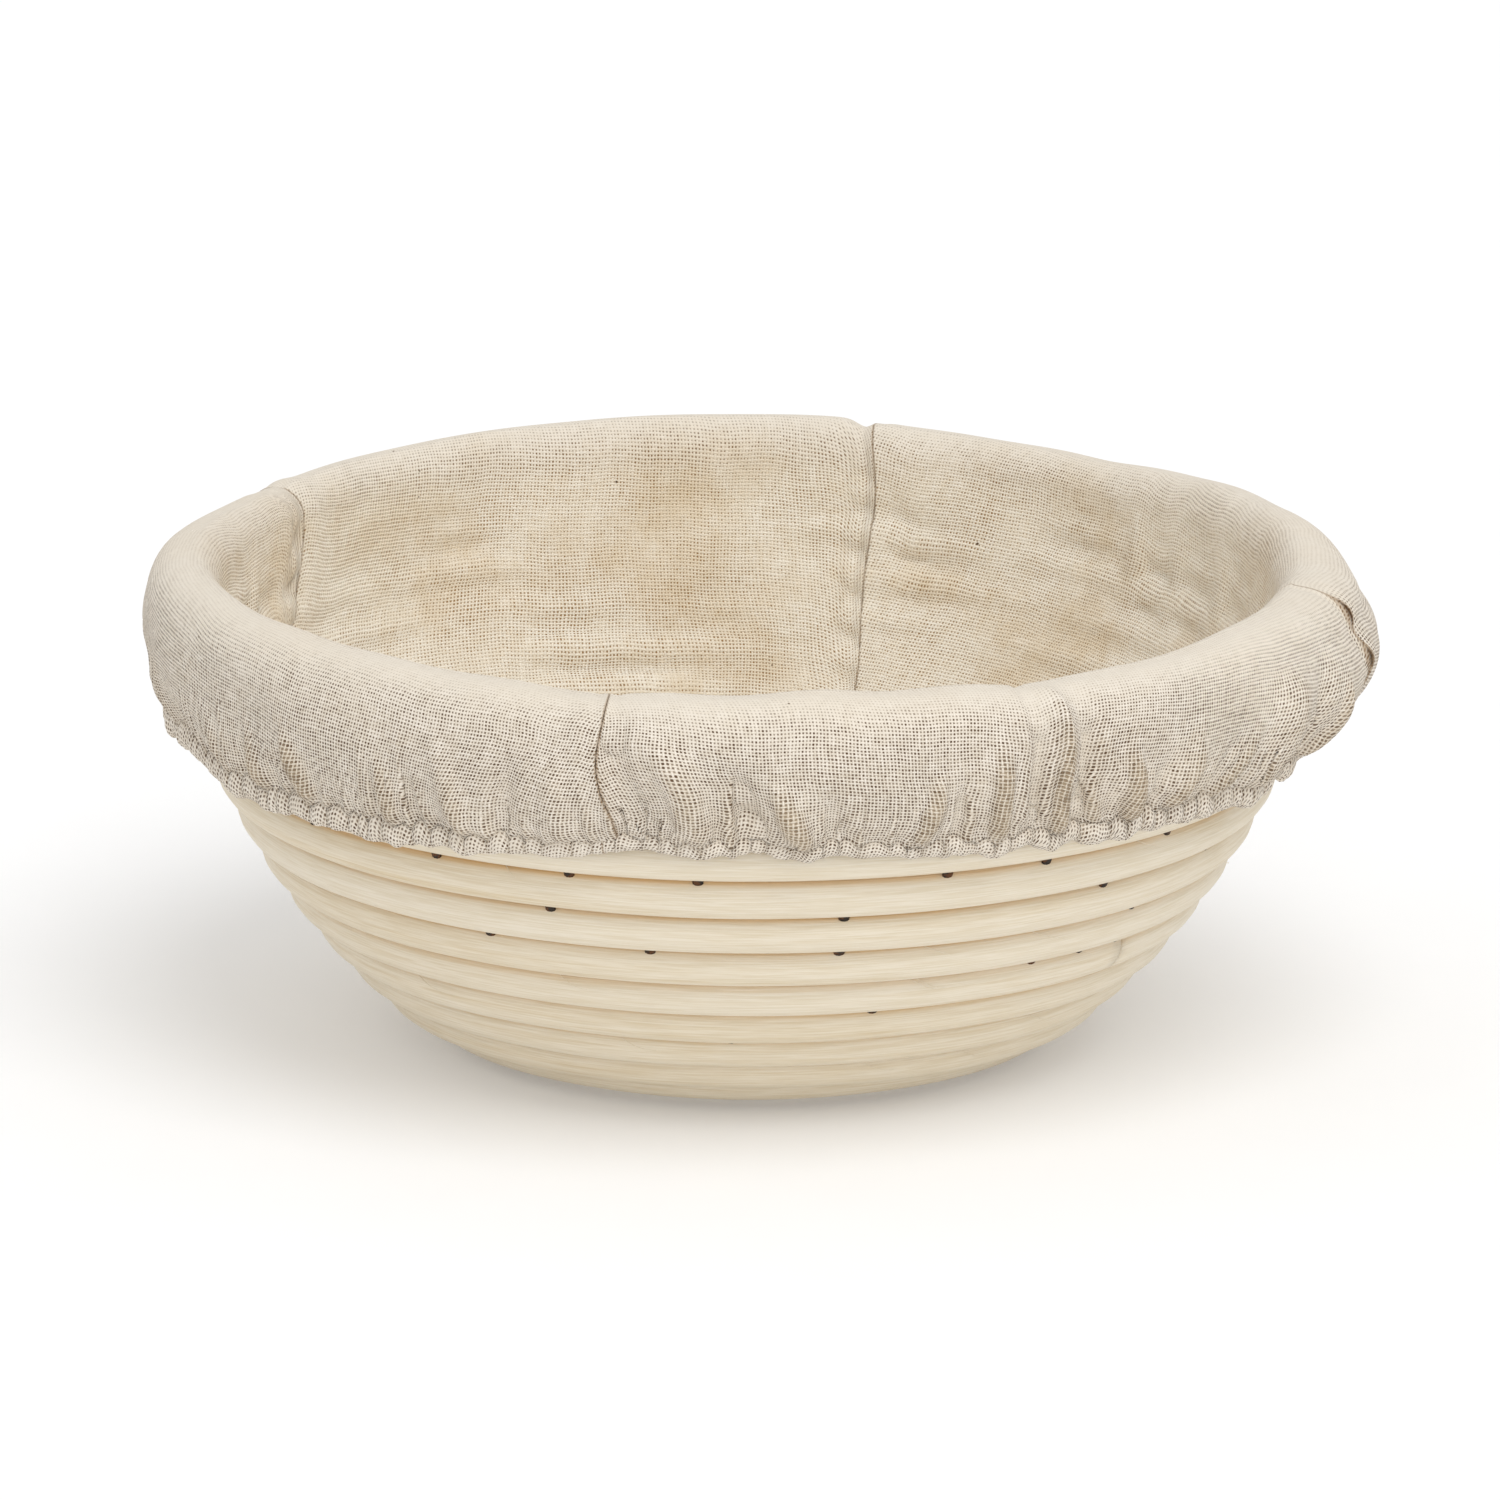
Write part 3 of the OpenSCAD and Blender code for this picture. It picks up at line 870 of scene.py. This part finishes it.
def gathers(run):
    """Height of the gathers on the skirt: ruffles at the hem that merge into folds further up."""
    up = HEM_RUN - run
    x = ANGLES * HEM_R
    lean = 0.5 * ring_noise(3, 3, 16)
    x2 = x + lean * up + 2.6 * ring_noise(5, 9, 40)
    strength = np.clip(0.6 + 0.5 * ring_noise(6, 4, 22), 0, 1.8)
    middle = (np.abs(np.sin(pi * x2 / MIDDLE_GATHER)) ** 0.7 - 0.62) * strength
    x3 = x + 1.4 * lean * up + 5.0 * ring_noise(7, 5, 22)
    strength = np.clip(0.5 + 0.6 * ring_noise(8, 3, 14), 0, 1.8)
    large = (np.abs(np.sin(pi * x3 / LARGE_GATHER)) ** 0.7 - 0.6) * strength
    near_hem = np.exp(-up / 1.5)
    total = 1.3 * (lobes() - 0.62) * np.exp(-((up / 3.0) ** 1.5))
    total = total + 1.9 * middle * np.exp(-((up / 6.5) ** 2)) * (1 - 0.6 * near_hem)
    return total + 2.8 * large * np.exp(-((up / 13.0) ** 2)) * (1 - 0.5 * near_hem)


def crossing_folds(run):
    """Height of the folds that cross the skirt."""
    total = np.zeros(np.broadcast(ANGLES, run).shape)
    down = (run - SKIRT_RUN) / (HEM_RUN - SKIRT_RUN)
    for centre, height, wide, lean, start in FOLDS:
        x = turn_gap(ANGLES, centre) * SKIRT_R - lean * 20 * (down - 0.5)
        total += height * bump_at(x, 0, wide) * smooth_step(down, start, start + 0.4)
    return total


def bowl_slack(run):
    """Slack of the cloth inside the bowl."""
    inside = smooth_step(run, 30, 60) * smooth_step(RIM_RUN + 2 - run, 0, 16)
    soft = 0.55 * waves(ANGLES, run, 21, (2, 9), (0.004, 0.02))
    soft = soft + 0.28 * waves(ANGLES, run, 22, (8, 26), (0.01, 0.05))
    total = np.maximum(soft + 0.5, 0)
    for centre, middle, wide, long, height in SWELLS:
        total = total + height * beside(centre, wide) * bump_at(run, middle, long)
    return 0.5 * (total + np.hypot(total, 0.3)) * inside


SOLVER_STEPS = 120
# Length of cloth at the stitching over the hem's own
HEM_FULLNESS = 1.15
# Share of an error that a step puts right: stretch, squeeze, shear, and bends around and down
STRETCH_HOLD = 1.0
SQUEEZE_HOLD = 0.7
SHEAR_HOLD = 0.06
BEND_AROUND = 0.07
BEND_DOWN = 0.04
# Fall of the cloth in a step
SAG = 0.004


def hold_length(sheet, axis, first, rest):
    """Brings neighbours along one axis back to their distance, for every second pair. Round the
    basket, along axis 1, the last point's neighbour is the first."""
    lines = np.swapaxes(sheet, 0, axis)
    a = np.arange(first, len(lines) - 1 + axis, 2)
    b = (a + 1) % len(lines)
    gap = lines[b] - lines[a]
    length = np.maximum(np.linalg.norm(gap, axis=2), 1e-6)
    error = (length - np.swapaxes(rest, 0, axis)[a]) / length
    move = (0.5 * np.where(error > 0, STRETCH_HOLD, SQUEEZE_HOLD) * error)[..., None] * gap
    lines[a] += move
    lines[b] -= move


def settle_skirt(sheet, flat):
    """Cloth solver for the rim and skirt: threads keep their length, so the extra cloth held by the
    elastic buckles into folds. The inside of the rim and the stitching of the hem are held."""
    around, down = spacing(flat)
    share = smooth_step(np.linspace(0, 1, len(sheet)), 0.25, 1.0)[:, None]
    around = around * (1.008 + (HEM_FULLNESS - 1.008) * share)
    down = down * 1.012
    diagonal = np.hypot(around[:-1], down)
    held = RIM_ROWS // 2 - 2
    top, hem = sheet[:held].copy(), sheet[-1].copy()
    for step in range(SOLVER_STEPS):
        sheet[..., 2] -= SAG
        for first in (0, 1):
            hold_length(sheet, 1, first, around)
            hold_length(sheet, 0, first, down)
        for turn in (-1, 1):
            gap = np.roll(sheet, turn, axis=1)[1:] - sheet[:-1]
            length = np.maximum(np.linalg.norm(gap, axis=2), 1e-6)
            move = (SHEAR_HOLD * (length - diagonal) / length)[..., None] * gap
            sheet[:-1] += move
            sheet[1:] -= np.roll(move, -turn, axis=1)
        soft = (np.roll(sheet, 1, axis=1) + np.roll(sheet, -1, axis=1)) / 2 - sheet
        sheet[1:-1] += BEND_AROUND * soft[1:-1]
        sheet[1:-1] += BEND_DOWN * ((sheet[:-2] + sheet[2:]) / 2 - sheet[1:-1])
        if step % 3 == 2:
            sheet[:] = clear_of_cane(sheet)
        sheet[:held] = top
        sheet[-1] = hem
    return sheet


def casing(stitch_line, seam_out):
    """The hem casing below the stitching: a tube round the elastic, pinched between its lobes."""
    lobe = lobes(0.55)
    r = blurred(np.hypot(stitch_line[:, 0], stitch_line[:, 1]), 200) - 0.35 + seam_out
    uneven = 1 + 0.12 * ring_noise(41, 20, 90)
    height = hang(5)
    tall = height / 2 * (0.70 + 0.36 * lobe) * uneven
    wide = CASING_WIDE / 2 * (0.34 + 0.86 * lobe) * uneven * np.clip(height / 3.6, 0.75, 1)
    z = stitch_line[:, 2] - height / 2 * (0.97 + 0.05 * lobe)
    section = np.radians(np.linspace(60, -225, CASING_ROWS))
    return np.array([in_space(r + wide * cos(a), ANGLES, z + tall * sin(a)) for a in section])


def seam_gap(along):
    """How far the right seam gapes, from 0 to 1, at a distance in mm past the shoulder."""
    return np.maximum(bump_at(along, -3.0, 2.9), bump_at(along, 5.6, 2.5))


def seam_relief(run, reach):
    """Height of the cloth beside its seams: a narrow valley where two gores turn in, and the seam's
    spare cloth puffed up on one side of it. reach is the radius of each row."""
    total = np.zeros(np.broadcast(ANGLES, run).shape)
    outside = smooth_step(run, SKIRT_RUN - 12, SKIRT_RUN - 2)
    for side, centre in SEAMS.items():
        x = turn_gap(ANGLES, centre) * reach
        total -= (0.10 + 0.12 * outside) * bump_at(x, 0, 0.42)
        total += 0.30 * bump_at(x, 1.6, 1.2) + 0.14 * bump_at(x, -1.6, 1.1)
        total += outside * (0.8 * bump_at(x, 3.0, 2.2) - 0.3 * bump_at(x, -3.5, 2.2))
        if side == "right":
            along = run - SKIRT_RUN
            total -= 1.3 * seam_gap(along) * bump_at(x, 0.5, 0.9)
            lips = 1.1 * bump_at(x, -2.2, 1.9) + 0.5 * bump_at(x, 3.4, 2.2)
            total += bump_at(along, 1.0, 9.0) * lips
        if side == "back":
            total += 1.1 * (1 - outside) * bump_at(x, 2.6, 2.4)
        if side == "left":
            total += (1 - outside) * (1.5 * bump_at(x, 2.4, 2.2) - 0.5 * bump_at(x, -3.6, 3.0))
    return total * smooth_step(run, 12, 40)


SEAM_FAINT = {"right": 0.0, "back": 0.02, "left": 0.12, "front": 0.0}


def past_seam(distance, centre, along):
    """Distance in mm from a seam, as the painted seam shade takes it: more where a seam hardly shows,
    and below 0 where it gapes. centre is the seam's angle."""
    side = next(name for name, angle in SEAMS.items() if (angle - centre) % 360 == 0)
    gape = 0.6 * seam_gap(along) if side == "right" else 0.0
    return distance + SEAM_FAINT[side] - gape


def swayed(sheet, run):
    """Points moved round the basket, so that the threads and seams wander."""
    down = smooth_step(run, SKIRT_RUN - 8, HEM_RUN)
    move = beside(SEAMS["front"], 5.5) * (2.4 * down * down - 0.6 * down * (1 - down))
    above = RIM_RUN - run
    to_middle = smooth_step(-above, -145, -15)
    move = move + 15.0 * beside(SEAMS["left"], 24) * smooth_step(above, -4, 34) * to_middle
    right = beside(SEAMS["right"], 12) * smooth_step(CREST_RUN - run, 0, 24)
    move = move - 6.0 * right * to_middle
    move = move + 0.35 * waves(ANGLES, run, 51, (4, 24), (0.01, 0.05)) * smooth_step(run, 30, 60)
    turn = move / np.maximum(np.hypot(sheet[..., 0], sheet[..., 1]), 1.0)
    x = sheet[..., 0] * np.cos(turn) - sheet[..., 1] * np.sin(turn)
    y = sheet[..., 0] * np.sin(turn) + sheet[..., 1] * np.cos(turn)
    return np.stack([x, y, sheet[..., 2]], -1)


def make_sheet():
    """The whole liner as a grid of points, and how deep in a fold each one lies."""
    run = RUN[:, None]
    flat = in_space(BASE_R, ANGLES, BASE_Z)
    faces = face_directions(flat)
    below = smooth_step(run, SKIRT_RUN - 4, SKIRT_RUN + 5)
    folds = crossing_folds(run) * smooth_step(run, RIM_RUN, SKIRT_RUN)
    out = gathers(run) * below + 0.5 * folds
    out = out + 0.4 * waves(ANGLES, run, 31, (4, 18), (0.01, 0.03)) * below + bowl_slack(run)
    out = out + bump_at(run, CREST_RUN, 9) * 0.18 * waves(ANGLES, run, 32, (6, 30), (0.01, 0.05))
    sheet = clear_of_cane(flat + faces * out[..., None])
    sheet[RIM_ROW:] = settle_skirt(sheet[RIM_ROW:], flat[RIM_ROW:])
    relief = seam_relief(run, BASE_R) + 0.9 * folds * (1 - 0.8 * bump_at(run, HEM_RUN, 2.0))
    sheet = swayed(sheet + face_directions(sheet) * relief[..., None], run)
    sheet = clear_of_cane(sheet)
    smooth = sheet.copy()
    for _ in range(45):
        smooth = (np.roll(smooth, 1, axis=1) + smooth + np.roll(smooth, -1, axis=1)) / 3
    valley = np.sum((smooth - sheet) * face_directions(smooth), axis=2)
    band = casing(sheet[-1], seam_relief(run, BASE_R)[-1] * 0.5)
    band[2:] = clear_of_cane(band[2:], TOUCHING_R + CLOTH_T / 2)
    valley = np.concatenate([valley, np.repeat((0.5 - lobes())[None], CASING_ROWS, 0) * 1.2])
    return np.concatenate([sheet, band]), valley


def without_fine(values, waves_per_turn):
    """The slow part of values round the basket."""
    spectrum = np.fft.rfft(values, axis=-1)
    count = np.arange(spectrum.shape[-1])
    return np.fft.irfft(spectrum * np.exp(-((count / waves_per_turn) ** 2)), COLUMN_COUNT, axis=-1)


def thread_shifts(sheet):
    """How far the threads slide around and down, so that the weave keeps its size on folds."""
    around, down = spacing(sheet)
    extra = np.cumsum(around - without_fine(around, 30), axis=1)
    longer = np.cumsum(down - without_fine(down, 14), axis=0)
    return np.roll(extra, 1, axis=1), 0.8 * np.concatenate([0 * longer[:1], longer])


# Widest radius that the threads spread to, and the shift of the weave from gore to gore, mm a degree
WEAVE_R = 113
GORE_SHIFT = 3.1


def row_step(row):
    """Every how many columns a row is meshed: fewer at the rim and in the bowl."""
    if row > STITCH_ROW - FINE_SKIRT_ROWS:
        return 1
    return 2 if row >= RIM_ROW - 6 else 4


def row_weave(row, run, columns, start, end, shifts):
    """The cloth's own coordinates along a row: across, down, and the distance from a seam."""
    low, high = radians(start), radians(end)
    angle = low + (ANGLES[columns] - low) % FULL
    angle[-1] = high
    reach = BASE_R[min(row, STITCH_ROW), columns]
    wider = 1 + 0.1 * smooth_step(run, SKIRT_RUN, HEM_RUN)
    along = run - SKIRT_RUN
    edge = np.minimum(past_seam((angle - low) * reach, start, along),
                      past_seam((high - angle) * reach, end, along))
    across = (angle - radians((start + end) / 2)) * np.minimum(reach, WEAVE_R) * wider
    across = across + shifts[0][row, columns] + start * GORE_SHIFT
    return np.stack([across, run + shifts[1][row, columns], edge], -1)


def gore_piece(node, start, end, sheet, valley, shifts):
    """One gore of cloth, from the middle of the floor to the hem."""
    first = int(round((start - GORES[0][1]) * COLUMNS_PER_DEG))
    count = (end - start) * COLUMNS_PER_DEG
    runs_down = np.concatenate([RUN, HEM_RUN + np.linspace(0.8, 9.0, CASING_ROWS)])
    points, weave, inside, openness_and_shade, rows = [], [], [], [], []
    for row, run in enumerate(runs_down):
        columns = (first + np.arange(0, count + 1, row_step(row))) % COLUMN_COUNT
        rows.append((len(points), len(columns) - 1))
        points += list(sheet[row, columns])
        weave += list(row_weave(row, run, columns, start, end, shifts))
        share = 1 - smooth_step(run, RIM_RUN - 6, RIM_RUN + 9)
        inside += [float(share)] * len(columns)
        # How open the weave is and how much painted shade it takes: more deep in a fold or in a
        # crease of the hem, less on the crest
        crest = bump_at(run, CREST_RUN, 9.5)
        openness_and_shade += list(np.clip(0.5 + 0.3 * valley[row, columns], 0.2, 1.0) * (1 - 0.8 * crest))
    points.append((0, 0, sheet[0, 0, 2]))
    weave.append((start * GORE_SHIFT, 0, 20))
    inside.append(1)
    openness_and_shade.append(0.5)
    faces = [(rows[0][0] + j + 1, rows[0][0] + j, len(points) - 1) for j in range(rows[0][1])]
    for (a, n), (b, m) in zip(rows, rows[1:]):
        faces += band_faces(a, n, b, m)
    piece = make_piece("cloth_" + node, points, faces, CLOTH, "liner", "cloth")
    add_values(piece, "weave", weave)
    add_values(piece, "inside", inside)
    add_values(piece, "openness_and_shade", openness_and_shade)
    thick = piece.modifiers.new("cloth_thickness", "SOLIDIFY")
    thick.thickness = CLOTH_T * MM
    thick.offset = -1
    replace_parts(piece, node)


def band_faces(a, n, b, m):
    """Faces between a row of n columns at point a and one of m columns at point b."""
    if n == m:
        return [(a + j, a + j + 1, b + j + 1, b + j) for j in range(n)]
    faces = []
    for j in range(n):
        faces.append((a + j, a + j + 1, b + 2 * j + 1))
        faces.append((a + j, b + 2 * j + 1, b + 2 * j))
        faces.append((a + j + 1, b + 2 * j + 2, b + 2 * j + 1))
    return faces


def stitches(name, node, path, stitch, gap, radius):
    """A row of stitches along a path, which dip into the cloth at each end."""
    run = run_along(path)
    tubes = Tubes(6)
    rings = 5
    swell = radius * (0.35 + 0.65 * np.sin(np.linspace(0, pi, rings)))
    for i in range(int(run[-1] / (stitch + gap))):
        at = np.linspace(0, 1, rings) * stitch + i * (stitch + gap)
        tubes.add(np.stack([np.interp(at, run, path[:, c]) for c in range(3)], -1), swell)
    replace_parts(tubes.piece(name, THREAD, "liner", "thread"), node)


def make_threads(sheet):
    """The stitching of the four seams and of the hem."""
    lifted = sheet + 0.02 * face_directions(sheet)
    for side, centre in SEAMS.items():
        column = int(round((centre - GORES[0][1]) * COLUMNS_PER_DEG)) % COLUMN_COUNT
        path = lifted[10:STITCH_ROW - 1, column]
        stitches("stitching_" + side + "_seam", "seam_thread_" + side, path, 1.3, 1.7, 0.07)
    path = lifted[STITCH_ROW]
    stitches("stitching_hem", "hem_thread", np.concatenate([path, path[:1]]), 1.4, 1.0, 0.14)


WISPS = 70
WISP_STEPS = 26


def make_wisps(sheet):
    """Loose ends of yarn that lie over the hem and the lower skirt."""
    rng = np.random.default_rng(17)
    lifted = sheet + 0.3 * face_directions(sheet)
    tubes = Tubes(5)
    for _ in range(WISPS):
        degrees = rng.choice((rng.uniform(190, 240), rng.uniform(250, 310), rng.uniform(0, 360)))
        column = np.searchsorted(ANGLES, radians(degrees - 360 * (degrees > GORES[-1][2])))
        row = STITCH_ROW + rng.choice((rng.uniform(-9, 3), rng.uniform(-1, 3)))
        heading = rng.uniform(-0.5, 0.5) + pi * rng.integers(0, 2)
        path = []
        for _ in range(WISP_STEPS):
            heading += rng.uniform(-0.45, 0.45)
            column += 2.2 * cos(heading)
            row = float(np.clip(row + 0.5 * sin(heading), RIM_ROW, STITCH_ROW + 5))
            low, share = int(row), row % 1
            at = int(column) % COLUMN_COUNT
            path.append(lifted[low, at] * (1 - share) + lifted[low + 1, at] * share)
        tubes.add(eased(path, 2), 0.045)
    tubes.piece("loose_yarn", THREAD, "liner", "thread")


def make_elastic(sheet):
    """The elastic cord inside the hem casing, a closed ring."""
    centre = blurred(sheet[STITCH_ROW + 1:].mean(axis=0), 40)[::6]
    sides = 10
    looped = np.concatenate([centre[-1:], centre, centre[:1]])
    points = sweep(looped, 0.55, sides)[sides:-sides]
    faces = tube_faces(len(centre), sides, capped=False)
    last = (len(centre) - 1) * sides
    faces += [(last + j, j, (j + 1) % sides, last + (j + 1) % sides) for j in range(sides)]
    piece = make_piece("elastic_cord", points, faces, ELASTIC, "liner", "elastic")
    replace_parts(piece, "hem_elastic")


# ---- studio
def make_floor():
    """A pale floor, a hair below the basket's foot."""
    mesh = bpy.data.meshes.new("studio_floor")
    half, depth = 40.0, -0.0002
    corners = [(-half, -half, depth), (half, -half, depth), (half, half, depth), (-half, half, depth)]
    mesh.from_pydata(corners, [], [(0, 1, 2, 3)])
    mesh.materials.append(floor_material())
    put_in_scene("studio_floor", mesh)


def add_light(name, kind, toward, power):
    """A light that shines along toward."""
    lamp = put_in_scene(name, bpy.data.lights.new(name, kind))
    lamp.data.energy = power
    lamp.rotation_euler = Vector(toward).to_track_quat("-Z", "Y").to_euler()
    return lamp


def make_studio():
    """A floor, an even sky, a broad key light from the front right and a low one in front."""
    make_floor()
    key = add_light("key_light", "SUN", (-0.22, 0.5, -1.0), 1.15)
    key.data.angle = radians(40)
    front = add_light("front_light", "AREA", (-0.15, 1.7, -0.3), 4.0)
    front.location = (0.15, -1.7, 0.35)
    front.data.shape = "DISK"
    front.data.size = 1.1
    world = bpy.data.worlds.new("studio_world")
    world.use_nodes = True
    sky = world.node_tree.nodes["Background"].inputs
    sky["Color"].default_value = (1, 1, 1, 1)
    sky["Strength"].default_value = 0.74
    bpy.context.scene.world = world
    bpy.context.scene.view_settings.view_transform = "Standard"


CAMERA_DISTANCE = 2.8957
CAMERA_SIDE = 0.0007
CAMERA_HEIGHT = 0.8257
CAMERA_PITCH = 14.93
CAMERA_ROLL = 0.45
LENS = 384.0


def make_camera():
    """A long lens in front, a little above the rim and rolled by half a degree."""
    data = bpy.data.cameras.new("camera")
    data.lens = LENS
    data.sensor_width = 36.0
    data.clip_end = 100.0
    camera = put_in_scene("camera", data)
    camera.location = (CAMERA_SIDE, -CAMERA_DISTANCE, CAMERA_HEIGHT)
    pitch = radians(CAMERA_PITCH)
    look = Vector((0, cos(pitch), -sin(pitch))).to_track_quat("-Z", "Y")
    roll = Matrix.Rotation(radians(CAMERA_ROLL), 4, "Z")
    camera.rotation_euler = (look.to_matrix().to_4x4() @ roll).to_euler()
    bpy.context.scene.camera = camera


CANE = cane_material()
SLAT = slat_material()
BRAD = brad_material()
CLOTH = cloth_material()
THREAD = thread_material()
ELASTIC = elastic_material()

make_camera()
make_canes()
make_whiskers()
make_slats()
for node in ("floor_brads", "wall_brads", "rim_brads"):
    make_brads(node)
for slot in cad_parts["slat_nails"].material_slots:
    slot.material = BRAD
cloth, valleys = make_sheet()
slides = thread_shifts(cloth)
for gore in GORES:
    gore_piece(*gore, cloth, valleys, slides)
make_threads(cloth)
make_wisps(cloth)
make_elastic(cloth)
make_studio()

bpy.context.view_layer.update()
